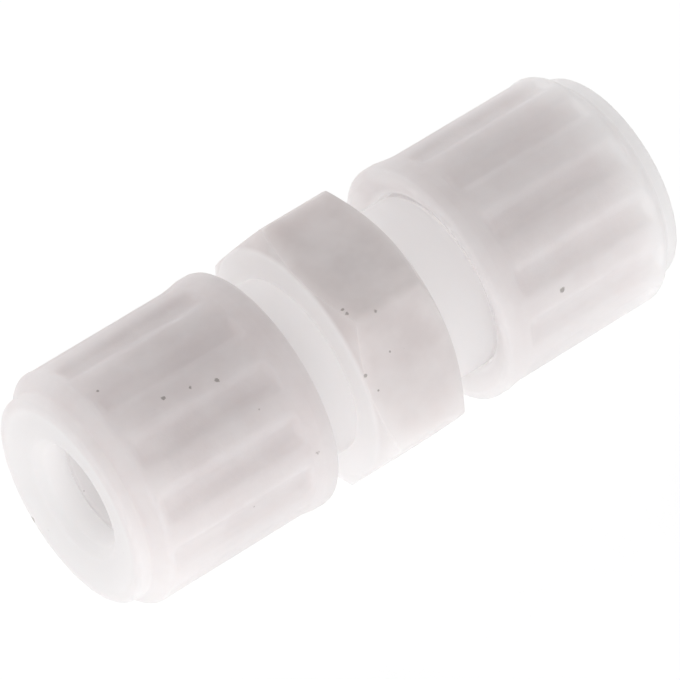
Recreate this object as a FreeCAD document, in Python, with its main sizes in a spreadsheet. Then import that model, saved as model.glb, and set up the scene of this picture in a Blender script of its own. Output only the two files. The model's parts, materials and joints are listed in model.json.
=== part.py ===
# Straight compression fitting for two plastic tubes, in natural fluoropolymer.
#
# Frame: millimetres, +Z up. The origin is the centre of the hexagon, on the axis.
# +X runs along the axis, through the right nut. A flat of the hexagon faces up.
#
# Each nut and its two ferrules are drawn in one local frame: x = 0 is the open end
# of the nut, x grows towards its nose, and a placement turns it to its side.
import FreeCAD, Part
import os
import re
import Sketcher

SIZES = (
    # Body, from the middle outwards.
    ("hexagon_flats", 24.0),
    ("hexagon_length", 10.0),
    ("hexagon_face_inset", 0.4),
    ("hexagon_chamfer_angle", 30.0),
    ("neck_diameter", 17.9),
    ("neck_length", 6.0),
    ("thread_diameter", 18.0),
    ("thread_pitch", 1.5),
    ("thread_length", 9.5),
    ("thread_lead_chamfer", 0.8),
    ("thread_play", 0.05),
    # Tube, and the places that take it.
    ("tube_diameter", 10.0),
    ("tube_play", 0.05),
    ("flow_bore", 8.0),
    ("socket_depth", 9.0),
    ("seat_mouth_diameter", 14.2),
    ("seat_half_angle", 25.0),
    # Nut, outside, from the flats of the hexagon outwards and inwards.
    ("nut_length", 21.6),
    ("collar_stand", 0.15),
    ("collar_length", 1.5),
    ("collar_taper_length", 1.2),
    ("rim_round", 0.5),
    ("rib_drop", 0.2),
    ("rib_count", 13),
    ("rib_ramp_length", 1.2),
    ("flute_angle", 11.7),
    ("flute_depth", 0.5),
    ("flute_runout", 0.7),
    ("flute_land", 0.3),
    ("nose_drop", 1.4),
    ("nose_length", 1.4),
    ("nose_round", 0.45),
    # Nut, inside.
    ("mouth_wall", 0.95),
    ("mouth_chamfer_length", 0.9),
    ("nut_clearance_diameter", 18.3),
    ("nut_clearance_length", 4.0),
    ("nut_thread_length", 9.5),
    ("cavity_diameter", 15.6),
    ("end_wall", 3.6),
    ("nut_bore_play", 0.25),
    # Ferrules.
    ("ferrule_diameter", 15.1),
    ("ferrule_play", 0.05),
    ("seat_play", 0.1),
    ("front_tip_wall", 0.5),
    ("back_ferrule_length", 2.4),
    ("back_nose_length", 0.8),
    ("back_nose_root_diameter", 12.6),
    ("back_nose_tip_diameter", 11.4),
    # Where each nut stands in the photograph, and how it is turned.
    ("left_gap", 4.4),
    ("right_gap", 5.3),
    ("left_turn", 4.8),
    ("right_turn", 4.4),
)

# Extra reach of a cutting profile past the surface that it opens.
OVERRUN = 1.5

doc = FreeCAD.newDocument("straight_compression_fitting")
sheet = doc.addObject("Spreadsheet::Sheet", "sizes")


def fill_sheet():
    """Write each driving size into the sheet, under its own name."""
    for row, (name, value) in enumerate(SIZES, start=1):
        sheet.set(f"A{row}", name)
        sheet.set(f"B{row}", str(value))
        sheet.setAlias(f"B{row}", name)
    doc.recompute()


def size(expression):
    """Value of an expression in the sheet's names."""
    return float(sheet.evalExpression(expression))


def bound(expression):
    """The same expression, written for an object outside the sheet."""
    names = {name for name, _ in SIZES}
    return re.sub(r"[a-z_]+", lambda word: ("sizes." if word[0] in names else "") + word[0], expression)


def origin_part(body, role):
    """Origin plane or axis of a body, by its role."""
    return next(part for part in body.Origin.OriginFeatures if part.Role == role)


def new_sketch(body, name, plane):
    """Empty sketch on one of the body's origin planes."""
    sketch = body.newObject("Sketcher::SketchObject", name)
    sketch.AttachmentSupport = [(origin_part(body, plane), "")]
    sketch.MapMode = "FlatFace"
    return sketch


def hold(sketch, kind, corner, expression):
    """Tie one coordinate of a profile's corner to the sheet, or to an axis at zero."""
    value = size(expression)
    axis = -2 if kind == "DistanceX" else -1
    if value == 0:
        sketch.addConstraint(Sketcher.Constraint("PointOnObject", corner, 1, axis))
        return
    index = sketch.addConstraint(Sketcher.Constraint(kind, -1, 1, corner, 1, value))
    sketch.setExpression(f"Constraints[{index}]", bound(expression))


def half_section(body, name, corners):
    """Closed profile beside the X axis. Each corner is (place along the axis, radius)."""
    sketch = new_sketch(body, name, "XY_Plane")
    points = [FreeCAD.Vector(size(along), size(radius), 0) for along, radius in corners]
    count = len(points)
    for i, point in enumerate(points):
        sketch.addGeometry(Part.LineSegment(point, points[(i + 1) % count]), False)
    for i in range(count):
        sketch.addConstraint(Sketcher.Constraint("Coincident", i, 2, (i + 1) % count, 1))
    for i, (along, radius) in enumerate(corners):
        hold(sketch, "DistanceX", i, along)
        hold(sketch, "DistanceY", i, radius)
    return sketch


def turned(body, kind, name, corners):
    """Revolution or groove of a half section about the X axis."""
    sketch = half_section(body, name + "_section", corners)
    feature = body.newObject("PartDesign::" + kind, name)
    feature.Profile = sketch
    feature.ReferenceAxis = (sketch, ["H_Axis"])
    feature.Angle = 360
    return feature


def rounded(body, name, radius, is_edge):
    """Fillet of the edges of the present solid that pass a test."""
    doc.recompute()
    base = body.Tip
    names = [f"Edge{i}" for i, edge in enumerate(base.Shape.Edges, start=1) if is_edge(edge)]
    fillet = body.newObject("PartDesign::Fillet", name)
    fillet.Base = (base, names)
    fillet.Radius = size(radius)
    fillet.setExpression("Radius", bound(radius))
    return fillet


def ring_edge(place, radius):
    """Test for a full circle about the X axis, at a place and a radius."""
    def test(edge):
        curve = edge.Curve
        return (
            isinstance(curve, Part.Circle)
            and abs(curve.Radius - size(radius)) < 1e-4
            and abs(curve.Center.x - size(place)) < 1e-4
        )
    return test


def new_body(name):
    """Body whose label is the name of its node."""
    body = doc.addObject("PartDesign::Body", name)
    body.Label = name
    return body


# Places along the axis, from the middle of the fitting.
HEX_FACE = "hexagon_length / 2"
NECK_END = HEX_FACE + " + neck_length"
BODY_END = NECK_END + " + thread_length"

# Radii of the nut's outside. They follow the hexagon, so that body and nuts stay of a size.
COLLAR_RADIUS = "hexagon_flats / 2 + collar_stand"
RIB_RADIUS = COLLAR_RADIUS + " - rib_drop"
FLOOR_RADIUS = RIB_RADIUS + " - flute_depth"
NOSE_RADIUS = RIB_RADIUS + " - nose_drop"

# The plain cylinders that stand for the threads lie at the pitch diameter.
THREAD_HALF_DEPTH = 0.3247595
PITCH_RADIUS = f"thread_diameter / 2 - {THREAD_HALF_DEPTH} * thread_pitch"
SOCKET_RADIUS = "tube_diameter / 2 + tube_play"


def make_union_body():
    """Hexagon with a threaded shank on each side and one bore right through."""
    body = new_body("union_body")

    outline = new_sketch(body, "hexagon_outline", "YZ_Plane")
    corner = size("hexagon_flats / 2 / cos(30)")
    corners = []
    for i in range(6):
        turn = FreeCAD.Rotation(FreeCAD.Vector(0, 0, 1), 60 * i)
        corners.append(turn.multVec(FreeCAD.Vector(corner, 0, 0)))
    for i in range(6):
        outline.addGeometry(Part.LineSegment(corners[i], corners[(i + 1) % 6]), False)
    circle = outline.addGeometry(Part.Circle(FreeCAD.Vector(), FreeCAD.Vector(0, 0, 1), corner), True)
    for i in range(6):
        outline.addConstraint(Sketcher.Constraint("Coincident", i, 2, (i + 1) % 6, 1))
        outline.addConstraint(Sketcher.Constraint("PointOnObject", i, 1, circle))
    for i in range(1, 6):
        outline.addConstraint(Sketcher.Constraint("Equal", 0, i))
    outline.addConstraint(Sketcher.Constraint("Coincident", circle, 3, -1, 1))
    outline.addConstraint(Sketcher.Constraint("PointOnObject", 0, 1, -1))
    index = outline.addConstraint(Sketcher.Constraint("Radius", circle, corner))
    outline.setExpression(f"Constraints[{index}]", bound("hexagon_flats / 2 / cos(30)"))

    hexagon = body.newObject("PartDesign::Pad", "hexagon")
    hexagon.Profile = outline
    hexagon.Midplane = True
    hexagon.Length = size("hexagon_length")
    hexagon.setExpression("Length", bound("hexagon_length"))

    reach = f"hexagon_flats / 2 / cos(30) + {OVERRUN}"
    face_radius = "hexagon_flats / 2 - hexagon_face_inset"
    drop = f"({reach} - ({face_radius})) * tan(hexagon_chamfer_angle)"
    chamfer = turned(body, "Groove", "hexagon_chamfer", (
        (HEX_FACE, face_radius),
        (f"{HEX_FACE} - {drop}", reach),
        (HEX_FACE, reach),
    ))
    thread_radius = f"{PITCH_RADIUS} - thread_play"
    shank = turned(body, "Revolution", "shank", (
        (f"{HEX_FACE} / 2", "0"),
        (f"{HEX_FACE} / 2", "neck_diameter / 2"),
        (NECK_END, "neck_diameter / 2"),
        (NECK_END, thread_radius),
        (f"{BODY_END} - thread_lead_chamfer", thread_radius),
        (BODY_END, f"{thread_radius} - thread_lead_chamfer"),
        (BODY_END, "0"),
    ))
    seat_depth = f"(seat_mouth_diameter / 2 - ({SOCKET_RADIUS})) / tan(seat_half_angle)"
    bore = turned(body, "Groove", "bore", (
        ("0", "0"),
        ("0", "flow_bore / 2"),
        (f"{BODY_END} - socket_depth", "flow_bore / 2"),
        (f"{BODY_END} - socket_depth", SOCKET_RADIUS),
        (f"{BODY_END} - {seat_depth}", SOCKET_RADIUS),
        (BODY_END, "seat_mouth_diameter / 2"),
        (f"{BODY_END} + {OVERRUN}", "seat_mouth_diameter / 2"),
        (f"{BODY_END} + {OVERRUN}", "0"),
    ))
    doc.recompute()
    both_sides = body.newObject("PartDesign::Mirrored", "both_sides")
    both_sides.Originals = [chamfer, shank, bore]
    both_sides.MirrorPlane = (origin_part(body, "YZ_Plane"), [""])
    body.Tip = both_sides
    return body


SHOULDER = "nut_length - end_wall"
NOSE_START = "nut_length - nose_length"
RIB_START = "collar_length + collar_taper_length"
FLUTE_END = NOSE_START + " - rib_ramp_length - flute_land"


def make_nut(side):
    """Union nut: fluted outside, threaded inside, with the tube's hole in its nose."""
    body = new_body("compression_nut_" + side)
    nut_thread_end = "nut_clearance_length + nut_thread_length"
    nut_thread_radius = f"{PITCH_RADIUS} + thread_play"
    nut_bore_radius = "tube_diameter / 2 + nut_bore_play"
    turned(body, "Revolution", "shell_" + side, (
        ("0", COLLAR_RADIUS + " - mouth_wall"),
        ("0", COLLAR_RADIUS),
        ("collar_length", COLLAR_RADIUS),
        (RIB_START, RIB_RADIUS),
        (f"{NOSE_START} - rib_ramp_length", RIB_RADIUS),
        (NOSE_START, NOSE_RADIUS),
        ("nut_length", NOSE_RADIUS),
        ("nut_length", nut_bore_radius),
        (SHOULDER, nut_bore_radius),
        (SHOULDER, "cavity_diameter / 2"),
        (nut_thread_end, "cavity_diameter / 2"),
        (nut_thread_end, nut_thread_radius),
        ("nut_clearance_length", nut_thread_radius),
        ("nut_clearance_length", "nut_clearance_diameter / 2"),
        ("mouth_chamfer_length", "nut_clearance_diameter / 2"),
    ))
    rounded(body, "rim_round_" + side, "rim_round", ring_edge("0", COLLAR_RADIUS))
    rounded(body, "nose_round_" + side, "nose_round", ring_edge("nut_length", NOSE_RADIUS))

    outside = f"{RIB_RADIUS} + {OVERRUN}"
    spread = f"flute_runout / flute_depth * {OVERRUN}"
    flute = turned(body, "Groove", "flute_" + side, (
        (f"{RIB_START} - {spread}", outside),
        (f"{RIB_START} + flute_runout", FLOOR_RADIUS),
        (f"{FLUTE_END} - flute_runout", FLOOR_RADIUS),
        (f"{FLUTE_END} + {spread}", outside),
    ))
    flute.Midplane = True
    flute.Angle = size("flute_angle")
    flute.setExpression("Angle", bound("flute_angle"))
    doc.recompute()
    flutes = body.newObject("PartDesign::PolarPattern", "flutes_" + side)
    flutes.Originals = [flute]
    flutes.Axis = (origin_part(body, "X_Axis"), [""])
    flutes.Angle = 360
    flutes.Occurrences = int(size("rib_count"))
    flutes.setExpression("Occurrences", bound("rib_count"))
    body.Tip = flutes
    return body


BACK_FACE = f"{SHOULDER} - ferrule_play - back_ferrule_length"
TIP_RADIUS = f"{SOCKET_RADIUS} + front_tip_wall"
SEAT_END = "neck_length + thread_length - left_gap"


def make_front_ferrule(side):
    """Sealing ring whose cone is pressed into the seat of the body."""
    body = new_body("front_ferrule_" + side)
    tip = f"{SEAT_END} - (seat_mouth_diameter / 2 - ({TIP_RADIUS}) - seat_play) / tan(seat_half_angle)"
    cone = f"(ferrule_diameter / 2 - ({TIP_RADIUS})) / tan(seat_half_angle)"
    rear = f"{BACK_FACE} - ferrule_play"
    turned(body, "Revolution", "front_ring_" + side, (
        (tip, SOCKET_RADIUS),
        (tip, TIP_RADIUS),
        (f"{tip} + {cone}", "ferrule_diameter / 2"),
        (rear, "ferrule_diameter / 2"),
        (rear, "back_nose_root_diameter / 2 + ferrule_play"),
        (f"{rear} - back_nose_length", "back_nose_tip_diameter / 2 + ferrule_play"),
        (f"{rear} - back_nose_length", SOCKET_RADIUS),
    ))
    return body


def make_back_ferrule(side):
    """Clamping ring between the front ferrule and the shoulder in the nut."""
    body = new_body("back_ferrule_" + side)
    rear = f"{SHOULDER} - ferrule_play"
    turned(body, "Revolution", "back_ring_" + side, (
        (BACK_FACE, "back_nose_root_diameter / 2"),
        (BACK_FACE, "ferrule_diameter / 2"),
        (rear, "ferrule_diameter / 2"),
        (rear, SOCKET_RADIUS),
        (f"{BACK_FACE} - back_nose_length", SOCKET_RADIUS),
        (f"{BACK_FACE} - back_nose_length", "back_nose_tip_diameter / 2"),
    ))
    return body


def stand_at_side(body, side, turn):
    """Move a piece from the nut's own frame to its side of the fitting."""
    sign = -1 if side == "left" else 1
    place = f"{sign} * ({HEX_FACE} + {side}_gap)"
    to_side = FreeCAD.Rotation(FreeCAD.Vector(0, 0, 1), 90 * (1 - sign))
    about_axis = FreeCAD.Rotation(FreeCAD.Vector(1, 0, 0), turn)
    body.Placement = FreeCAD.Placement(FreeCAD.Vector(size(place), 0, 0), to_side * about_axis)
    body.setExpression("Placement.Base.x", bound(place))


def make_pieces():
    """Every piece of the fitting, in place."""
    pieces = [make_union_body()]
    for side in ("left", "right"):
        for make in (make_nut, make_front_ferrule, make_back_ferrule):
            piece = make(side)
            turn = size(side + "_turn") if make is make_nut else 0
            stand_at_side(piece, side, turn)
            pieces.append(piece)
    return pieces


def write_steps(pieces):
    """Stop on a failed object or a bad solid, then write one file a piece."""
    doc.recompute()
    failed = [item.Name for item in doc.Objects if {"Invalid", "Error"} & set(item.State)]
    if failed:
        raise RuntimeError("failed objects: " + ", ".join(failed))
    for piece in pieces:
        shape = piece.Shape
        if shape.isNull() or not shape.isValid() or len(shape.Solids) != 1:
            raise RuntimeError("bad solid: " + piece.Label)
    os.makedirs("parts", exist_ok=True)
    for piece in pieces:
        piece.Shape.exportStep(f"parts/{piece.Label}.step")
        box = piece.Shape.BoundBox
        print(
            f"{piece.Label}: {piece.Shape.Volume:.1f} mm3,"
            f" x {box.XMin:.2f} to {box.XMax:.2f}, z {box.ZMin:.2f} to {box.ZMax:.2f}"
        )


fill_sheet()
write_steps(make_pieces())
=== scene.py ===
"""Looks of the straight compression fitting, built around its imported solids.

Sizes are in millimetres and become metres where a mesh is made. The solids' frame is kept: the
origin is the middle of the hexagon, +X runs along the axis through the right nut, +Z is up.
The pieces of one side are drawn in a side frame, whose X grows outwards from the middle.
"""

import json
import logging
import math
from dataclasses import dataclass
from enum import Enum
from typing import Any, Sequence

import bpy
import numpy as np
from mathutils import Matrix, Vector

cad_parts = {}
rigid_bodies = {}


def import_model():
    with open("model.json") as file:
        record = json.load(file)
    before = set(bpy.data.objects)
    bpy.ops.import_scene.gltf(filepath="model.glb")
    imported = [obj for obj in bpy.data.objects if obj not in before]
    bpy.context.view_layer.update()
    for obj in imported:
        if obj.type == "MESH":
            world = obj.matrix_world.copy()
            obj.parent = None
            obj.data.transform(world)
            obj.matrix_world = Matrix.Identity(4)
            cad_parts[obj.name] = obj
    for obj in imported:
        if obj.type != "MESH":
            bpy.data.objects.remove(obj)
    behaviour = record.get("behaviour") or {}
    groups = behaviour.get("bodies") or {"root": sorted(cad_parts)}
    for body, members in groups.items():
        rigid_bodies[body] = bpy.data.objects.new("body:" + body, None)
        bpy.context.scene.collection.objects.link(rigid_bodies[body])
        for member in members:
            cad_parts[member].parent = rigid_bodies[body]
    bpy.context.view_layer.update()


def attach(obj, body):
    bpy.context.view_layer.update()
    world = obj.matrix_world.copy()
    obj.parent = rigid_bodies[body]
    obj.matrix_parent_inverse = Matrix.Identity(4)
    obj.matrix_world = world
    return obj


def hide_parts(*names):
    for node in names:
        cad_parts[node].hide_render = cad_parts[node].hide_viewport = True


LOG = logging.getLogger("compression_fitting")
MM = 0.001
FULL_TURN = 2 * math.pi
WHITE = (1.0, 1.0, 1.0, 1.0)

# Form of a metric thread, in pitches: half a crest's width on a shank and in a nut, and a flank's width.
SHANK_CREST = 1 / 16
NUT_CREST = 1 / 8
FLANK = 5 / 16

# Cutters leave alone what lies further off than this share of their depth, and end within this length.
CUT_REACH = 1.05
HAIR = 0.00001


class Side(Enum):
    """The two ends of the fitting, each with its turn about Z from the side frame."""

    LEFT = math.pi
    RIGHT = 0.0

    @property
    def word(self) -> str:
        """The side's name, as the nodes and bodies spell it."""
        return self.name.lower()


class Way(Enum):
    """Whether a cutter takes material off an outer surface or off an inner one."""

    INWARDS = -1.0
    OUTWARDS = 1.0


# Node graphs


class Wire:
    """A node's output on which plain arithmetic adds Math nodes."""

    def __init__(self, graph: "Graph", socket: bpy.types.NodeSocket) -> None:
        """Keep the socket and the graph that it is in."""
        self.graph = graph
        self.socket = socket

    def _math(self, operation: str, *operands: Any) -> "Wire":
        """Add one Math node on the operands."""
        node = self.graph.add("ShaderNodeMath", dict(enumerate(operands)), operation=operation)
        return Wire(self.graph, node.outputs[0])

    def __add__(self, other: Any) -> "Wire":
        """Sum."""
        return self._math("ADD", self, other)

    __radd__ = __add__

    def __sub__(self, other: Any) -> "Wire":
        """Difference."""
        return self._math("SUBTRACT", self, other)

    def __rsub__(self, other: Any) -> "Wire":
        """Difference, with the wire last."""
        return self._math("SUBTRACT", other, self)

    def __mul__(self, other: Any) -> "Wire":
        """Product."""
        return self._math("MULTIPLY", self, other)

    __rmul__ = __mul__

    def __truediv__(self, other: Any) -> "Wire":
        """Quotient."""
        return self._math("DIVIDE", self, other)

    def __rtruediv__(self, other: Any) -> "Wire":
        """Quotient, with the wire last."""
        return self._math("DIVIDE", other, self)

    def least(self, other: Any) -> "Wire":
        """The smaller of two values."""
        return self._math("MINIMUM", self, other)

    def most(self, other: Any) -> "Wire":
        """The larger of two values."""
        return self._math("MAXIMUM", self, other)

    def size(self) -> "Wire":
        """Value without its sign."""
        return self._math("ABSOLUTE", self)

    def fraction(self) -> "Wire":
        """Part above the next lower whole number."""
        return self._math("FRACT", self)

    def nearest(self) -> "Wire":
        """Nearest whole number."""
        return self._math("ROUND", self)

    def root(self) -> "Wire":
        """Square root."""
        return self._math("SQRT", self)

    def angle_from(self, across: "Wire") -> "Wire":
        """Angle of the point (across, self), in radians."""
        return self._math("ARCTAN2", self, across)

    def ramp(self, low: Any, high: Any) -> "Wire":
        """0 below low, 1 above high and an even rise between."""
        node = self.graph.add(
            "ShaderNodeMapRange", {0: self, 1: low, 2: high, 3: 0.0, 4: 1.0}, clamp=True
        )
        return Wire(self.graph, node.outputs[0])

    def soft_ramp(self, low: Any, high: Any) -> "Wire":
        """0 below low, 1 above high and a smooth rise between."""
        node = self.graph.add(
            "ShaderNodeMapRange",
            {0: self, 1: low, 2: high, 3: 0.0, 4: 1.0},
            interpolation_type="SMOOTHSTEP",
        )
        return Wire(self.graph, node.outputs[0])


class Graph:
    """A node tree that is filled one node at a time."""

    def __init__(self, tree: bpy.types.NodeTree) -> None:
        """Empty the tree and keep it."""
        self.tree = tree
        tree.nodes.clear()

    def add(self, kind: str, sockets: dict[Any, Any] | None = None, **settings: Any) -> bpy.types.Node:
        """Add a node of any type.

        Args:
            kind: The node's type.
            sockets: A value, socket or wire for each input, by its name or its place.
            settings: The node's own properties, which are set before its sockets.

        Returns:
            The new node.
        """
        node = self.tree.nodes.new(kind)
        for name, value in settings.items():
            setattr(node, name, value)
        for key, value in (sockets or {}).items():
            if isinstance(key, int):
                socket = node.inputs[key]
            else:
                socket = next(s for s in node.inputs if s.enabled and s.name == key)
            if isinstance(value, Wire):
                value = value.socket
            if isinstance(value, bpy.types.NodeSocket):
                self.tree.links.new(value, socket)
            else:
                socket.default_value = value
        return node

    def wire(
        self, kind: str, sockets: dict[Any, Any] | None = None, out: Any = 0, **settings: Any
    ) -> Wire:
        """Add a node of any type and give one of its outputs, by name or place, as a wire."""
        return Wire(self, self.add(kind, sockets, **settings).outputs[out])

    def parts(self, place: Wire) -> tuple[Wire, Wire, Wire]:
        """The three numbers of a place."""
        split = self.add("ShaderNodeSeparateXYZ", {0: place})
        return Wire(self, split.outputs[0]), Wire(self, split.outputs[1]), Wire(self, split.outputs[2])

    def blend(self, factor: Wire, first: Any, second: Any) -> Wire:
        """The first colour where the factor is 0, the second where it is 1."""
        sockets = {"Factor": factor, "A": first, "B": second}
        return self.wire("ShaderNodeMix", sockets, out=2, data_type="RGBA")


class PieceTree(Graph):
    """A Geometry Nodes tree with named inputs, a start and a finishing end."""

    def __init__(self, name: str, inputs: Sequence[str]) -> None:
        """Make the tree and its inputs.

        Args:
            name: The tree's name.
            inputs: Names of its number inputs, after the geometry.
        """
        super().__init__(bpy.data.node_groups.new(name, "GeometryNodeTree"))
        face = self.tree.interface
        face.new_socket("Geometry", in_out="INPUT", socket_type="NodeSocketGeometry")
        self.ids = {}
        for word in inputs:
            socket = face.new_socket(word, in_out="INPUT", socket_type="NodeSocketFloat")
            self.ids[word] = socket.identifier
        stuff = face.new_socket("Material", in_out="INPUT", socket_type="NodeSocketMaterial")
        self.ids["Material"] = stuff.identifier
        face.new_socket("Geometry", in_out="OUTPUT", socket_type="NodeSocketGeometry")
        self.start = self.add("NodeGroupInput")

    def given(self, word: str) -> Wire:
        """One of the tree's inputs."""
        return Wire(self, self.start.outputs[word])

    def finish(self, geometry: Any) -> None:
        """End the tree: loose copies become one mesh, which takes the material.

        Args:
            geometry: The socket or wire that carries the finished shape.
        """
        real = self.wire("GeometryNodeRealizeInstances", {"Geometry": geometry})
        dressed = self.wire(
            "GeometryNodeSetMaterial", {"Geometry": real, "Material": self.given("Material")}
        )
        self.add("NodeGroupOutput", {"Geometry": dressed})

    def apply_to(self, piece: bpy.types.Object, values: dict[str, Any]) -> None:
        """Run the tree on a piece and leave the result as its plain mesh.

        Args:
            piece: The object whose mesh goes through the tree.
            values: A value for each named input.
        """
        modifier = piece.modifiers.new(self.tree.name, "NODES")
        modifier.node_group = self.tree
        for word, value in values.items():
            modifier[self.ids[word]] = value
        bpy.context.view_layer.update()
        evaluated = piece.evaluated_get(bpy.context.evaluated_depsgraph_get())
        made = bpy.data.meshes.new_from_object(evaluated)
        piece.modifiers.remove(modifier)
        old = piece.data
        piece.data = made
        bpy.data.meshes.remove(old)


def polar(tree: PieceTree) -> tuple[Wire, Wire, Wire]:
    """Each point's place along the X axis, its distance from it and its angle from +Y to +Z."""
    along, across, up = tree.parts(tree.wire("GeometryNodeInputPosition"))
    return along, (across * across + up * up).root(), up.angle_from(across)


def moved_to_radius(tree: PieceTree, radius: Wire, new_radius: Wire) -> Wire:
    """The tree's geometry, with each point slid along its own ray from the X axis.

    Args:
        tree: The tree that the nodes go into.
        radius: Each point's distance from the axis.
        new_radius: The distance that it gets.

    Returns:
        The changed geometry.
    """
    place = tree.wire("GeometryNodeInputPosition")
    share = new_radius / radius
    factors = tree.wire("ShaderNodeCombineXYZ", {0: 1.0, 1: share, 2: share})
    target = tree.wire("ShaderNodeVectorMath", {0: place, 1: factors}, operation="MULTIPLY")
    sockets = {"Geometry": tree.given("Geometry"), "Position": target}
    return tree.wire("GeometryNodeSetPosition", sockets)


def thread_cutter(way: Way) -> PieceTree:
    """Tree that cuts a right-handed screw thread into a plain cylinder.

    Args:
        way: INWARDS for a thread on a shank, OUTWARDS for one in a nut.

    Returns:
        The tree. Phase is the place of a groove's middle, in pitches.
    """
    tree = PieceTree(
        "thread_" + way.name.lower(),
        ("Pitch", "Depth", "Plain radius", "Start", "End", "Fade", "Phase"),
    )
    along, radius, angle = polar(tree)
    pitch, depth = tree.given("Pitch"), tree.given("Depth")
    plain = tree.given("Plain radius")
    turn = (along / pitch - angle / FULL_TURN - tree.given("Phase")).fraction()
    from_ridge = (turn - 0.5).size()
    crest = SHANK_CREST if way is Way.INWARDS else NUT_CREST
    groove = from_ridge.ramp(crest, crest + FLANK)
    fade = tree.given("Fade")
    past_start, before_end = along - tree.given("Start"), tree.given("End") - along
    inside = past_start.ramp(0.0, fade) * before_end.ramp(0.0, fade)
    close = 1.0 - (radius - plain).size().ramp(depth, depth * CUT_REACH)
    floor = plain + depth * groove * inside * way.value
    cut = radius.most(floor) if way is Way.OUTWARDS else radius.least(floor)
    tree.finish(moved_to_radius(tree, radius, radius + (cut - radius) * close))
    return tree


def flute_cutter() -> PieceTree:
    """Tree that cuts evenly spaced flutes along the outside of a nut, which leaves its ribs.

    Returns:
        The tree. Turn is the angle of a flute's middle from +Y.
    """
    tree = PieceTree(
        "flutes",
        ("Count", "Half angle", "Edge angle", "Depth", "Rib radius", "Start", "Runout", "End", "Turn"),
    )
    along, radius, angle = polar(tree)
    step = FULL_TURN / tree.given("Count")
    turned = (angle - tree.given("Turn")) / step
    from_flute = ((turned - turned.nearest()) * step).size()
    half, soft = tree.given("Half angle"), tree.given("Edge angle")
    in_flute = 1.0 - from_flute.soft_ramp(half - soft, half + soft)
    past_start, before_end = along - tree.given("Start"), tree.given("End") - along
    runout = tree.given("Runout")
    sunk = past_start.soft_ramp(0.0, runout) * before_end.soft_ramp(0.0, runout)
    floor = tree.given("Rib radius") - tree.given("Depth") * sunk
    reach = before_end.ramp(0.0, HAIR) * past_start.ramp(-HAIR, 0.0)
    cut = radius + (radius.least(floor) - radius) * in_flute * reach
    tree.finish(moved_to_radius(tree, radius, cut))
    return tree


# Finishes


@dataclass(frozen=True)
class Zone:
    """Stretch of the axis where the plastic is thick and gets painted shade, in millimetres."""

    start: float
    end: float
    start_softness: float
    end_softness: float
    strength: float = 1.0

    def mask(self, along: Wire) -> Wire:
        """How far each point is in the zone.

        Args:
            along: The points' place along the axis, in metres.

        Returns:
            The strength inside the zone, 0 outside it and a smooth change at each end.
        """
        low, high = self.start - self.start_softness, self.start + self.start_softness
        rise = along.soft_ramp(low * MM, high * MM)
        low, high = self.end - self.end_softness, self.end + self.end_softness
        return rise * (1.0 - along.soft_ramp(low * MM, high * MM)) * self.strength


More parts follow.
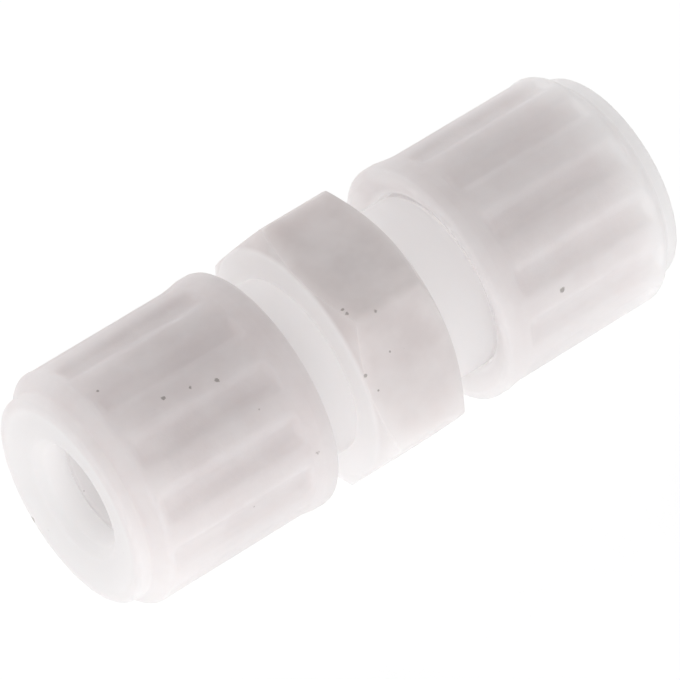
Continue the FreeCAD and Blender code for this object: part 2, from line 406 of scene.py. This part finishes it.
@dataclass(frozen=True)
class MilkyPlastic:
    """Natural fluoropolymer: milky, waxy, faintly clouded, with a few specks in it.

    Its colour carries painted shade: darker in the thick zones, standing in for less light coming through
    them.
    It carries painted light too: paler towards its lowest side, as if lit from the ground through it, and
    paler nearer to the axis than wall_start, in the holes and sockets, where no painted shade is put.
    Sizes are in millimetres.
    """

    name: str
    colour: tuple[float, float, float]
    deep_colour: tuple[float, float, float]
    roughness: float
    cloud_size: float
    grain_size: float
    grain_height: float
    scatter_depth: float
    translucency: float
    thick_loss: float
    light_below: float
    thick_zones: tuple[Zone, ...] = ()
    specks: tuple[tuple[float, float, float, float], ...] = ()
    refraction: float = 1.36
    scatter_tint: tuple[float, float, float] = (1.0, 0.92, 0.88)
    wall_start: float = 9.0
    wall_full: float = 10.0
    low_side: float = -10.0
    high_side: float = 8.0
    cloud_range: tuple[float, float] = (0.3, 0.7)
    cloud_share: float = 0.22
    cloud_height: float = 0.6
    bump_strength: float = 0.35
    grain_gloss: float = 0.14
    dirt_gloss: float = 0.2
    dirt_colour: tuple[float, float, float] = (0.30, 0.275, 0.26)
    dust_spacing: float = 1.7
    dust_core: float = 0.035
    dust_edge: float = 0.075
    dust_chance: tuple[float, float] = (0.955, 0.96)
    dust_strength: float = 0.55
    speck_core: float = 0.55
    speck_ragged: float = 1.6
    speck_strength: float = 0.8

    def make(self) -> bpy.types.Material:
        """Build the material's nodes.

        Returns:
            The new material.
        """
        material = bpy.data.materials.new(self.name)
        material.use_nodes = True
        graph = Graph(material.node_tree)
        place = graph.wire("ShaderNodeTexCoord", out="Object")
        clouds = self._noise(graph, place, self.cloud_size, detail=3.0, roughness=0.55)
        grain = self._noise(graph, place, self.grain_size, detail=2.0, roughness=0.6)
        depth = self._depth(graph, place, clouds)
        dirt = self._dust(graph, place).most(self._marks(graph, place, grain))
        # painted shade: the plastic's colour darkens towards the shaded deep colour where the mask is high
        plastic = graph.blend(depth, (*self.colour, 1.0), (*self.deep_colour, 1.0))
        bump = graph.wire(
            "ShaderNodeBump",
            {
                "Height": grain + clouds * self.cloud_height,
                "Strength": self.bump_strength,
                "Distance": self.grain_height * MM,
            },
            out="Normal",
        )
        shader = graph.wire(
            "ShaderNodeBsdfPrincipled",
            {
                "Base Color": graph.blend(dirt, plastic, (*self.dirt_colour, 1.0)),
                "Roughness": self.roughness + (grain - 0.5) * self.grain_gloss + dirt * self.dirt_gloss,
                "IOR": self.refraction,
                "Subsurface Weight": 1.0,
                "Subsurface Radius": self.scatter_tint,
                "Subsurface Scale": self.scatter_depth * MM,
                "Normal": bump,
            },
        )
        through = graph.wire("ShaderNodeBsdfTranslucent", {"Color": (*self.colour, 1.0)})
        share = (1.0 - depth * self.thick_loss) * (1.0 - dirt) * self.translucency
        both = graph.wire("ShaderNodeMixShader", {0: share, 1: shader, 2: through})
        graph.add("ShaderNodeOutputMaterial", {"Surface": both})
        return material

    def _noise(self, graph: Graph, place: Wire, size: float, detail: float, roughness: float) -> Wire:
        """Even noise whose clumps are about as large as the given size."""
        sockets = {"Vector": place, "Scale": 1 / (size * MM), "Detail": detail, "Roughness": roughness}
        return graph.wire("ShaderNodeTexNoise", sockets)

    def _depth(self, graph: Graph, place: Wire, clouds: Wire) -> Wire:
        """How much painted shade the plastic gets, less towards its lowest side through painted light from
        below.

        Args:
            graph: The material's nodes.
            place: The points' place in the fitting's frame.
            clouds: The faint clouds in the plastic.

        Returns:
            0 outside the thick zones and in the holes, up to 1 in a thick zone; painted light from below
            lowers it near the lowest side.
        """
        along, across, height = graph.parts(place)
        radius = (across * across + height * height).root()
        outside = radius.soft_ramp(self.wall_start * MM, self.wall_full * MM)
        # painted shade: the thick zones, where less light comes through, get the darker colour
        thick = sum((zone.mask(along) for zone in self.thick_zones), along * 0.0)
        cloudy = clouds.soft_ramp(*self.cloud_range) * self.cloud_share + (1.0 - self.cloud_share)
        # painted light: paler towards the lowest side, as if the floor's light came up through the plastic
        below = 1.0 - height.soft_ramp(self.low_side * MM, self.high_side * MM)
        return thick * outside * cloudy * (1.0 - below * self.light_below)

    def _dust(self, graph: Graph, place: Wire) -> Wire:
        """Very small sparse dots, a few to each square centimetre.

        Args:
            graph: The material's nodes.
            place: The points' place in the fitting's frame.

        Returns:
            The dots' cover, 0 between them.
        """
        cells = graph.add("ShaderNodeTexVoronoi", {"Vector": place, "Scale": 1 / (self.dust_spacing * MM)})
        chance = graph.wire("ShaderNodeSeparateColor", {0: cells.outputs["Color"]})
        away = Wire(graph, cells.outputs["Distance"])
        spot = 1.0 - away.soft_ramp(self.dust_core, self.dust_edge)
        return spot * chance.ramp(*self.dust_chance) * self.dust_strength

    def _marks(self, graph: Graph, place: Wire, grain: Wire) -> Wire:
        """Specks at given places, with ragged edges.

        Args:
            graph: The material's nodes.
            place: The points' place in the fitting's frame.
            grain: The fine noise that makes the edges ragged.

        Returns:
            The specks' cover, 0 between them.
        """
        total = grain * 0.0
        for x, y, z, radius in self.specks:
            away = graph.wire(
                "ShaderNodeVectorMath",
                {0: place, 1: (x * MM, y * MM, z * MM)},
                out="Value",
                operation="DISTANCE",
            )
            reach = away / (radius * MM) + (grain - 0.5) * self.speck_ragged
            total = total.most(1.0 - reach.soft_ramp(self.speck_core, 1.0))
        return total * self.speck_strength


NUT_FINISH = MilkyPlastic(
    name="nut_milky_plastic",
    colour=(0.97, 0.96, 0.96),
    # The deep colour and the thick zones paint shade on the nuts' thick middles and noses; the light from
    # below paints them paler low down.
    deep_colour=(0.705, 0.65, 0.652),
    roughness=0.42,
    cloud_size=5.0,
    grain_size=0.35,
    grain_height=0.05,
    scatter_depth=5.0,
    translucency=0.6,
    thick_loss=0.4,
    light_below=0.55,
    thick_zones=(
        Zone(-33.0, -28.9, 0.6, 0.6, 0.8),
        Zone(-28.9, -9.0, 0.6, 0.4),
        Zone(10.0, 28.5, 0.4, 3.2, 0.85),
    ),
    specks=(
        (-30.95, 5.75, -8.3, 0.42),
        (-31.0, 3.5, -7.8, 0.2),
        (-17.3, -4.1, 11.2, 0.27),
        (-19.8, -3.4, 11.4, 0.2),
        (-22.5, -3.0, 11.5, 0.25),
        (-26.7, 1.0, 11.9, 0.2),
        (-11.5, -11.3, 3.6, 0.3),
        (17.3, -10.9, 4.7, 0.36),
    ),
)
BODY_FINISH = MilkyPlastic(
    name="body_milky_plastic",
    colour=(0.97, 0.96, 0.96),
    # The deep colour and the thick zone paint shade on the hexagon; the light from below paints it paler
    # low down.
    deep_colour=(0.61, 0.553, 0.548),
    roughness=0.38,
    cloud_size=6.0,
    grain_size=0.4,
    grain_height=0.03,
    scatter_depth=7.0,
    translucency=0.7,
    thick_loss=0.6,
    light_below=0.95,
    thick_zones=(Zone(-4.85, 5.0, 0.2, 0.3),),
    specks=(
        (-3.8, -5.1, 12.0, 0.2),
        (-3.8, -5.7, 12.0, 0.24),
        (-4.0, -6.8, 11.9, 0.18),
        (-4.5, -7.9, 10.3, 0.16),
        (-1.5, -6.9, 11.8, 0.2),
        (-1.5, -9.1, 8.2, 0.16),
        (-4.6, -9.5, 7.5, 0.22),
        (-3.9, -10.5, 5.8, 0.18),
    ),
)
FERRULE_FINISH = MilkyPlastic(
    name="ferrule_white_plastic",
    colour=(0.985, 0.98, 0.98),
    deep_colour=(0.98, 0.975, 0.975),
    roughness=0.5,
    cloud_size=3.0,
    grain_size=0.2,
    grain_height=0.03,
    scatter_depth=5.0,
    translucency=0.9,
    thick_loss=0.0,
    light_below=0.0,
)


# Meshes


def softened(corners: Sequence[tuple[float, float, float]], steps: int = 3) -> list[tuple[float, float]]:
    """Closed outline with rounded corners.

    Args:
        corners: (place along the axis, radius from it, rounding) of each corner, in order.
        steps: Pieces of each rounding's arc.

    Returns:
        The outline's points, in the same order.
    """
    points = []
    count = len(corners)
    for i, (x, r, rounding) in enumerate(corners):
        here = np.array((x, r))
        if rounding <= 0:
            points.append((x, r))
            continue
        before = np.array(corners[i - 1][:2]) - here
        after = np.array(corners[(i + 1) % count][:2]) - here
        before, after = before / np.linalg.norm(before), after / np.linalg.norm(after)
        half = math.acos(float(np.clip(before @ after, -1, 1))) / 2
        cut = rounding / math.tan(half)
        middle = (before + after) / np.linalg.norm(before + after)
        centre = here + middle * (rounding / math.sin(half))
        first, last = here + before * cut - centre, here + after * cut - centre
        sweep = math.pi - 2 * half
        for step in range(steps + 1):
            share = step / steps
            arc = first * math.sin((1 - share) * sweep) + last * math.sin(share * sweep)
            points.append(tuple(centre + arc / math.sin(sweep)))
    return points


def spread(
    points: list[tuple[float, float]],
    start: float,
    end: float,
    spacing: float,
    low: float,
    high: float,
) -> list[tuple[float, float]]:
    """Add points to an outline where a cutter needs them.

    Args:
        points: The outline, closed.
        start: Lower end of the zone, along the axis.
        end: Upper end of the zone.
        spacing: Longest step allowed in the zone.
        low: Smallest radius of the zone.
        high: Largest radius of the zone.

    Returns:
        The outline, with even steps in the zone.
    """
    result = []
    count = len(points)
    tiny = 1e-6
    for i, (x, r) in enumerate(points):
        next_x, next_r = points[(i + 1) % count]
        result.append((x, r))
        inside = low <= min(r, next_r) and max(r, next_r) <= high
        if inside and min(x, next_x) >= start - tiny and max(x, next_x) <= end + tiny:
            parts = max(1, math.ceil(abs(next_x - x) / spacing))
            for k in range(1, parts):
                result.append((x + (next_x - x) * k / parts, r + (next_r - r) * k / parts))
    return result


def ring_mesh(name: str, along: np.ndarray, radius: np.ndarray, angles: np.ndarray) -> bpy.types.Mesh:
    """Closed ring-shaped mesh about the X axis.

    Args:
        name: The mesh's name.
        along: Place of each row and column along the axis, in millimetres.
        radius: Its distance from the axis, in millimetres.
        angles: Angle of each column, from +Y to +Z.

    Returns:
        The mesh, with its faces outwards.
    """
    rows, columns = along.shape
    points = np.stack((along, radius * np.cos(angles), radius * np.sin(angles)), axis=-1) * MM
    index = np.arange(rows * columns).reshape(rows, columns)
    right, down = np.roll(index, -1, 1), np.roll(index, -1, 0)
    across = np.roll(down, -1, 1)
    faces = np.stack((index, right, across, down), axis=-1).reshape(-1, 4)
    flat = points.reshape(-1, 3)
    a, b, c, d = (flat[faces[:, k]] for k in range(4))
    volume = np.einsum("ij,ij->i", a, np.cross(b, c) + np.cross(c, d)).sum()
    if volume < 0:
        faces = faces[:, ::-1]
    mesh = bpy.data.meshes.new(name)
    mesh.from_pydata(flat.tolist(), [], faces.tolist())
    mesh.validate()
    return mesh


def smoothed(piece: bpy.types.Object, sharp_angle: float) -> None:
    """Shade a piece smoothly, up to a given angle between faces."""
    piece.data.shade_smooth()
    piece.data.set_sharp_from_angle(angle=sharp_angle)


def new_object(mesh: bpy.types.Mesh) -> bpy.types.Object:
    """Put a mesh in the scene.

    Args:
        mesh: The mesh, whose name the object takes.

    Returns:
        The new object, at the origin.
    """
    piece = bpy.data.objects.new(mesh.name, mesh)
    bpy.context.scene.collection.objects.link(piece)
    return piece


# Sub-assemblies


@dataclass(frozen=True)
class Thread:
    """M18 x 1.5 screw thread, with the play that keeps nut and body apart.

    Rows of points a row_step apart, which the cutter moves, fill each zone between two radii.
    """

    pitch: float = 1.5
    depth: float = 0.81
    shank_radius: float = 8.95
    nut_radius: float = 8.25
    fade: float = 1.1
    row_step: float = 0.125
    shank_zone: tuple[float, float] = (8.0, 9.2)
    nut_zone: tuple[float, float] = (7.95, 9.3)

    def cut(
        self,
        piece: bpy.types.Object,
        way: Way,
        span: tuple[float, float],
        phase: float,
        finish: bpy.types.Material,
    ) -> None:
        """Cut the thread into a piece.

        Args:
            piece: The piece, still in its side frame.
            way: INWARDS on a shank, OUTWARDS in a nut.
            span: The thread's two ends, in millimetres.
            phase: Place of a groove's middle, in pitches.
            finish: The piece's material.
        """
        plain = self.shank_radius if way is Way.INWARDS else self.nut_radius
        thread_cutter(way).apply_to(piece, {
            "Pitch": self.pitch * MM,
            "Depth": self.depth * MM,
            "Plain radius": plain * MM,
            "Start": span[0] * MM,
            "End": span[1] * MM,
            "Fade": self.fade * MM,
            "Phase": phase,
            "Material": finish,
        })


@dataclass
class HexBody:
    """Hexagon with a threaded shank and a ferrule seat at each end."""

    finish: bpy.types.Material
    thread: Thread
    flats: float = 24.0
    half_length: float = 5.0
    face_radius: float = 11.6
    chamfer_angle: float = math.radians(30)
    corner_round: float = 0.9
    edge_round: float = 0.26
    face_inner_radius: float = 10.2
    neck_radius: float = 8.95
    thread_start: float = 11.0
    row_lead: float = 0.3
    cut_lead: float = 0.2
    cut_overrun: float = 2.0
    end: float = 20.5
    lead_chamfer: float = 0.85
    seat_radius: float = 7.1
    seat_start: float = 16.104
    socket_radius: float = 5.05
    socket_bottom: float = 11.5
    flow_radius: float = 4.0
    flow_row: float = 2.0
    columns_per_flat: int = 26
    crowding: float = 0.72
    round_lead: float = 0.1
    round_dip: float = 0.16
    flat_row: float = 4.0
    sharp_angle: float = math.radians(32)

    def hexagon_radius(self, angle: np.ndarray) -> np.ndarray:
        """The hexagon's outline, with its rounded corners.

        Args:
            angle: Angles from +Y.

        Returns:
            The outline's distance from the axis at each angle.
        """
        sector = math.pi / 3
        from_corner = np.abs((angle / sector - np.round(angle / sector)) * sector)
        apothem = self.flats / 2
        flat = apothem / np.cos(sector / 2 - from_corner)
        centre = (apothem - self.corner_round) / math.cos(sector / 2)
        off = centre * np.sin(from_corner)
        arc = centre * np.cos(from_corner) + np.sqrt(np.maximum(self.corner_round**2 - off**2, 0))
        rise, reach = math.sin(sector / 2), math.cos(sector / 2)
        touch = math.atan2(self.corner_round * rise, centre + self.corner_round * reach)
        return np.where(from_corner < touch, arc, flat)

    def angles(self) -> np.ndarray:
        """Columns of points.

        Returns:
            Their angles from +Y, closer together near each corner of the hexagon.
        """
        share = np.linspace(-1, 1, self.columns_per_flat, endpoint=False)
        share = share + 1 / self.columns_per_flat
        bent = np.sin(share * math.pi / 2) * self.crowding + share * (1 - self.crowding)
        sector = (bent / 2 + 0.5) * math.pi / 3
        return np.concatenate([sector + k * math.pi / 3 for k in range(6)])

    def hexagon_rows(self, sign: float, angles: np.ndarray) -> list[tuple[np.ndarray, np.ndarray]]:
        """Rows of one chamfered end of the hexagon.

        Args:
            sign: 1 for the right end, -1 for the left one.
            angles: The columns' angles.

        Returns:
            Each row's places along the axis and distances from it, from the face to the flats.
        """
        outline = self.hexagon_radius(angles)
        slope = math.tan(self.chamfer_angle)
        edge = self.half_length - (outline - self.face_radius) * slope
        soft = self.edge_round
        back = math.cos(self.chamfer_angle) * soft
        rows = [
            (np.full_like(outline, self.half_length), np.full_like(outline, self.face_radius - soft)),
            (
                np.full_like(outline, self.half_length - soft * slope / 2),
                np.full_like(outline, self.face_radius + soft / 2),
            ),
            (edge + back * slope, outline - back),
            (edge + back * slope * self.round_lead, outline - soft * self.round_dip),
            (edge - soft, outline),
            (edge - soft * self.flat_row, outline),
        ]
        return [(sign * along, radius) for along, radius in rows]

    def shank_corners(self) -> list[tuple[float, float, float]]:
        """Outline of the right half's shank and bore.

        Returns:
            The place, radius and rounding of each corner, from the hexagon's face inwards.
        """
        crest = self.thread.shank_radius
        return [
            (self.half_length, self.face_inner_radius, 0.0),
            (self.half_length, self.neck_radius, 0.3),
            (self.thread_start - self.row_lead, self.neck_radius, 0.0),
            (self.end - self.lead_chamfer, crest, 0.12),
            (self.end, crest - self.lead_chamfer, 0.12),
            (self.end, self.seat_radius, 0.1),
            (self.seat_start, self.socket_radius, 0.1),
            (self.socket_bottom, self.socket_radius, 0.15),
            (self.socket_bottom, self.flow_radius, 0.15),
            (self.flow_row, self.flow_radius, 0.0),
        ]

    def blank(self) -> bpy.types.Mesh:
        """Make the body before its threads are cut.

        Returns:
            The body's mesh.
        """
        angles = self.angles()
        ones = np.ones_like(angles)
        first = self.thread_start - self.row_lead
        half = softened(self.shank_corners())
        half = spread(half, first, self.end, self.thread.row_step, *self.thread.shank_zone)
        right = [(x * ones, r * ones) for x, r in half]
        left = [(-x * ones, r * ones) for x, r in reversed(half)]
        rows = self.hexagon_rows(1.0, angles)[::-1] + right + left + self.hexagon_rows(-1.0, angles)
        along = np.array([row[0] for row in rows])
        radius = np.array([row[1] for row in rows])
        return ring_mesh("union_body_milky", along, radius, angles)

    def build(self) -> bpy.types.Object:
        """Make the body, with both threads cut.

        Returns:
            The finished piece, in the fitting's frame.
        """
        piece = new_object(self.blank())
        span = (self.thread_start - self.cut_lead, self.end + self.cut_overrun)
        for _ in Side:
            self.thread.cut(piece, Way.INWARDS, span, phase=0.5, finish=self.finish)
            piece.data.transform(Matrix.Rotation(math.pi, 4, "Z"))
        smoothed(piece, self.sharp_angle)
        return piece


@dataclass
class UnionNut:
    """Fluted union nut with a threaded inside and a hole for the tube in its nose."""

    side: Side
    finish: bpy.types.Material
    thread: Thread
    open_end: float
    turn: float
    length: float = 21.6
    collar_radius: float = 12.15
    collar_length: float = 1.5
    rib_radius: float = 11.95
    rib_count: int = 13
    flute_half_angle: float = math.radians(5.85)
    flute_edge_angle: float = math.radians(3.8)
    flute_depth: float = 0.5
    flute_runout: float = 0.8
    flute_end: float = 18.7
    flute_zone: tuple[float, float] = (10.4, 12.3)
    flute_row_step: float = 0.3
    rib_start: float = 2.7
    nose_start: float = 20.2
    rib_ramp: float = 1.2
    nose_radius: float = 10.55
    bore_radius: float = 5.25
    dish_radius: float = 9.6
    dish_depth: float = 0.5
    entry_radius: float = 6.2
    entry_depth: float = 1.3
    shoulder: float = 18.0
    cavity_radius: float = 7.8
    thread_end: float = 13.5
    clearance_radius: float = 9.15
    clearance_end: float = 4.0
    thread_lead: float = 0.8
    cut_lead: float = 1.0
    inner_round: float = 0.12
    mouth_radius: float = 11.2
    mouth_depth: float = 0.9
    row_tail: float = 0.1
    sharp_angle: float = math.radians(40)
    marks_half_step: float = 13.846
    column_marks: tuple[float, ...] = (
        0.0, 1.8, 3.4, 4.4, 4.9, 5.4, 5.9, 6.4, 6.9, 7.5, 8.8, 10.6, 12.3
    )

    def corners(self) -> list[tuple[float, float, float]]:
        """Outline of the nut's half section.

        Returns:
            The place, radius and rounding of each corner, from the open end along the outside.
        """
        soft = self.inner_round
        return [
            (0.0, self.mouth_radius, 0.15),
            (0.0, self.collar_radius, 0.5),
            (self.collar_length, self.collar_radius, 0.6),
            (self.rib_start, self.rib_radius, 0.6),
            (self.nose_start - self.rib_ramp, self.rib_radius, 0.7),
            (self.nose_start, self.nose_radius, 0.25),
            (self.length, self.nose_radius, 0.45),
            (self.length, self.dish_radius, 0.5),
            (self.length - self.dish_depth, self.entry_radius, 0.4),
            (self.length - self.entry_depth, self.bore_radius, 0.6),
            (self.shoulder, self.bore_radius, soft),
            (self.shoulder, self.cavity_radius, soft),
            (self.thread_end, self.cavity_radius, soft),
            (self.thread_end, self.thread.nut_radius, soft),
            (self.clearance_end + self.thread_lead, self.thread.nut_radius, soft),
            (self.clearance_end, self.clearance_radius, soft),
            (self.mouth_depth, self.clearance_radius, 0.2),
        ]

    def angles(self) -> np.ndarray:
        """Columns of points.

        Returns:
            Their angles from +Y, closer together at the flutes' edges.
        """
        half = math.degrees(FULL_TURN / self.rib_count / 2)
        marks = np.array(self.column_marks) * half / self.marks_half_step
        one = np.concatenate((-marks[:0:-1], marks, [half]))
        step = FULL_TURN / self.rib_count
        return np.concatenate([np.radians(one) + self.turn + k * step for k in range(self.rib_count)])

    def blank(self) -> bpy.types.Mesh:
        """Make the nut before its flutes and its thread are cut.

        Returns:
            The nut's mesh, in the side frame.
        """
        outline = softened(self.corners())
        step, last = self.flute_row_step, self.nose_start + self.row_tail
        outline = spread(outline, self.rib_start - step, last, step, *self.flute_zone)
        step = self.thread.row_step
        outline = spread(outline, self.clearance_end, self.thread_end, step, *self.thread.nut_zone)
        angles = self.angles()
        ones = np.ones_like(angles)
        along = np.array([(x + self.open_end) * ones for x, _ in outline])
        radius = np.array([r * ones for _, r in outline])
        return ring_mesh("compression_nut_" + self.side.word + "_milky", along, radius, angles)

    def build(self) -> bpy.types.Object:
        """Make the nut in the side frame, then turn it to its side.

        Returns:
            The finished piece, in the fitting's frame.
        """
        piece = new_object(self.blank())
        flute_cutter().apply_to(piece, {
            "Count": float(self.rib_count),
            "Half angle": self.flute_half_angle,
            "Edge angle": self.flute_edge_angle,
            "Depth": self.flute_depth * MM,
            "Rib radius": self.rib_radius * MM,
            "Start": (self.open_end + self.rib_start) * MM,
            "Runout": self.flute_runout * MM,
            "End": (self.open_end + self.flute_end) * MM,
            "Turn": self.turn,
            "Material": self.finish,
        })
        first = self.open_end + self.clearance_end - self.cut_lead
        span = (first, self.open_end + self.thread_end)
        self.thread.cut(piece, Way.OUTWARDS, span, phase=0.0, finish=self.finish)
        piece.data.transform(Matrix.Rotation(self.side.value, 4, "Z"))
        smoothed(piece, self.sharp_angle)
        return piece


@dataclass
class Ferrules:
    """The sealing ring and the clamping ring of one side."""

    side: Side
    finish: bpy.types.Material
    open_end: float
    bore_radius: float = 5.05
    outer_radius: float = 7.55
    tip_radius: float = 5.55
    shoulder: float = 17.95
    back_length: float = 2.4
    back_nose: float = 0.8
    back_root: float = 6.3
    back_tip: float = 5.7
    play: float = 0.05
    seat_half_angle: float = math.radians(25)
    seat_mouth_radius: float = 7.1
    seat_end: float = 11.1
    seat_play: float = 0.1
    columns: int = 96
    sharp_angle: float = math.radians(40)

    def front_corners(self) -> list[tuple[float, float, float]]:
        """Outline of the sealing ring.

        Returns:
            The place, radius and rounding of each corner, from its thin tip.
        """
        slope = math.tan(self.seat_half_angle)
        tip = self.seat_end - (self.seat_mouth_radius - self.tip_radius - self.seat_play) / slope
        cone_end = tip + (self.outer_radius - self.tip_radius) / slope
        rear = self.shoulder - self.back_length - self.play
        return [
            (tip, self.bore_radius, 0.08),
            (tip, self.tip_radius, 0.12),
            (cone_end, self.outer_radius, 0.3),
            (rear, self.outer_radius, 0.15),
            (rear, self.back_root + self.play, 0.08),
            (rear - self.back_nose, self.back_tip + self.play, 0.08),
            (rear - self.back_nose, self.bore_radius, 0.08),
        ]

    def back_corners(self) -> list[tuple[float, float, float]]:
        """Outline of the clamping ring.

        Returns:
            The place, radius and rounding of each corner, from its step.
        """
        face = self.shoulder - self.back_length
        return [
            (face, self.back_root, 0.05),
            (face, self.outer_radius, 0.15),
            (self.shoulder, self.outer_radius, 0.2),
            (self.shoulder, self.bore_radius, 0.15),
            (face - self.back_nose, self.bore_radius, 0.08),
            (face - self.back_nose, self.back_tip, 0.12),
        ]

    def build(self) -> list[tuple[bpy.types.Object, str]]:
        """Make both rings.

        Returns:
            Each ring, with the name of the node that it stands for.
        """
        angles = np.linspace(0, FULL_TURN, self.columns, endpoint=False)
        ones = np.ones_like(angles)
        rings = []
        for kind, corners in (("front", self.front_corners()), ("back", self.back_corners())):
            node = f"{kind}_ferrule_{self.side.word}"
            outline = softened(corners)
            along = np.array([(x + self.open_end) * ones for x, _ in outline])
            radius = np.array([r * ones for _, r in outline])
            piece = new_object(ring_mesh(node + "_turned", along, radius, angles))
            piece.data.materials.append(self.finish)
            piece.data.transform(Matrix.Rotation(self.side.value, 4, "Z"))
            smoothed(piece, self.sharp_angle)
            rings.append((piece, node))
        return rings


# Stage


@dataclass(frozen=True)
class Lamp:
    """Square soft lamp, with its place and size in millimetres and its power in watts."""

    name: str
    place: tuple[float, float, float]
    size: float
    power: float


@dataclass
class Stage:
    """Floor, lamps, surroundings and camera.

    The floor's half size and the camera's far clip are in metres, all other lengths in millimetres.
    """

    floor_level: float = -12.15
    camera_distance: float = 626.0
    view_along_axis: float = -0.400
    view_across: float = -0.487
    view_up: float = 0.777
    roll: float = math.radians(1.27)
    lens: float = 361.2
    film_width: float = 36.0
    far_clip: float = 10.0
    aim_off: tuple[float, float] = (0.11, -0.11)
    floor_half_size: float = 3.0
    floor_paper: float = 0.88
    floor_glow: float = 0.8
    floor_white: float = 1.1
    floor_seen_white: float = 1.15
    horizon_light: float = 0.95
    overhead_light: float = 0.08
    overhead_start: float = 0.9
    lamps: tuple[Lamp, ...] = (
        Lamp("front_low_lamp", (-110.0, -410.0, 20.0), 280.0, 1.3),
        Lamp("left_end_lamp", (-430.0, -70.0, 80.0), 220.0, 0.2),
        Lamp("back_high_lamp", (-60.0, 400.0, 240.0), 300.0, 0.9),
    )

    def seen_rays(self, graph: Graph) -> Wire:
        """Tell what is seen from what only lights the fitting.

        Args:
            graph: The nodes of the surface.

        Returns:
            1 where the camera, a reflection or a clear piece sees the surface, 0 for its light.
        """
        path = graph.add("ShaderNodeLightPath")
        seen = Wire(graph, path.outputs["Is Camera Ray"])
        for ray in ("Is Glossy Ray", "Is Transmission Ray"):
            seen = seen.most(Wire(graph, path.outputs[ray]))
        return seen

    def floor(self) -> None:
        """Pale floor that shows white and keeps the fitting's soft shadow."""
        size, level = self.floor_half_size, self.floor_level * MM
        mesh = bpy.data.meshes.new("floor")
        mesh.from_pydata(
            [(-size, -size, level), (size, -size, level), (size, size, level), (-size, size, level)],
            [],
            [(0, 1, 2, 3)],
        )
        piece = new_object(mesh)
        material = bpy.data.materials.new("floor_white")
        material.use_nodes = True
        graph = Graph(material.node_tree)
        seen = self.seen_rays(graph)
        grey = (self.floor_paper, self.floor_paper, self.floor_paper, 1.0)
        paper = graph.wire("ShaderNodeBsdfDiffuse", {"Color": grey})
        glow = seen * (self.floor_seen_white - self.floor_white) + self.floor_white
        white = graph.wire("ShaderNodeEmission", {"Color": WHITE, "Strength": glow})
        both = graph.wire("ShaderNodeMixShader", {0: self.floor_glow, 1: paper, 2: white})
        graph.add("ShaderNodeOutputMaterial", {"Surface": both})
        piece.data.materials.append(material)

    def surroundings(self) -> None:
        """White surroundings, which light the fitting most from near the horizon."""
        world = bpy.data.worlds.new("surroundings")
        bpy.context.scene.world = world
        world.use_nodes = True
        graph = Graph(world.node_tree)
        seen = self.seen_rays(graph)
        way = graph.wire("ShaderNodeTexCoord", out="Generated")
        height = graph.wire("ShaderNodeSeparateXYZ", {0: way}, out=2)
        near_horizon = 1.0 - height.ramp(0.0, self.overhead_start)
        strength = self.overhead_light + near_horizon * (self.horizon_light - self.overhead_light)
        light = graph.wire("ShaderNodeBackground", {"Color": WHITE, "Strength": strength})
        white = graph.wire("ShaderNodeBackground", {"Color": WHITE, "Strength": 1.0})
        both = graph.wire("ShaderNodeMixShader", {0: seen, 1: light, 2: white})
        graph.add("ShaderNodeOutputWorld", {"Surface": both})

    def light(self) -> None:
        """Large soft lamps, aimed at the fitting."""
        for lamp in self.lamps:
            light = bpy.data.lights.new(lamp.name, "AREA")
            light.shape = "SQUARE"
            light.size = lamp.size * MM
            light.energy = lamp.power
            stand = bpy.data.objects.new(lamp.name, light)
            stand.location = Vector(lamp.place) * MM
            stand.rotation_euler = (-stand.location).to_track_quat("-Z", "Y").to_euler()
            bpy.context.scene.collection.objects.link(stand)

    def camera(self) -> None:
        """Camera at the photograph's viewing angle and distance."""
        back = Vector((self.view_along_axis, self.view_across, self.view_up)).normalized()
        right = Vector((0, 0, 1)).cross(back).normalized()
        rolled = Matrix.Rotation(self.roll, 3, back)
        right = rolled @ right
        up = back.cross(right)
        aim = (right * self.aim_off[0] + up * self.aim_off[1]) * MM
        data = bpy.data.cameras.new("camera")
        data.lens = self.lens
        data.sensor_width = self.film_width
        data.clip_end = self.far_clip
        eye = bpy.data.objects.new("camera", data)
        turn = Matrix((right, up, back)).transposed().to_4x4()
        eye.matrix_world = Matrix.Translation(back * self.camera_distance * MM + aim) @ turn
        bpy.context.scene.collection.objects.link(eye)
        bpy.context.scene.camera = eye

    def build(self) -> None:
        """Set the whole stage."""
        bpy.context.scene.view_settings.view_transform = "Standard"
        self.camera()
        self.floor()
        self.surroundings()
        self.light()


# Assembly

# Each nut's open end, in millimetres from the middle, and the turn of its flutes, in degrees.
NUT_PLACES = {Side.LEFT: (9.4, 4.8), Side.RIGHT: (10.3, 4.4)}


def ride_as(piece: bpy.types.Object, body: str, node: str) -> None:
    """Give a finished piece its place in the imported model.

    Args:
        piece: The finished piece.
        body: The body that it moves with.
        node: The node that it stands for.
    """
    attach(piece, body)
    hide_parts(node)
    LOG.info("%s rides on %s: %d faces", piece.name, body, len(piece.data.polygons))


def main() -> None:
    """Load the solids, build each piece around them and set the stage."""
    logging.basicConfig(level=logging.INFO, format="%(message)s")
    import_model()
    nut_finish = NUT_FINISH.make()
    body_finish = BODY_FINISH.make()
    ferrule_finish = FERRULE_FINISH.make()
    thread = Thread()
    Stage().build()
    ride_as(HexBody(body_finish, thread).build(), "fitting_body", "union_body")
    for side, (open_end, turn) in NUT_PLACES.items():
        nut = UnionNut(side, nut_finish, thread, open_end, math.radians(turn))
        ride_as(nut.build(), "nut_" + side.word, "compression_nut_" + side.word)
        for ring, node in Ferrules(side, ferrule_finish, open_end).build():
            ride_as(ring, "ferrules_" + side.word, node)


if __name__ == "__main__":
    main()
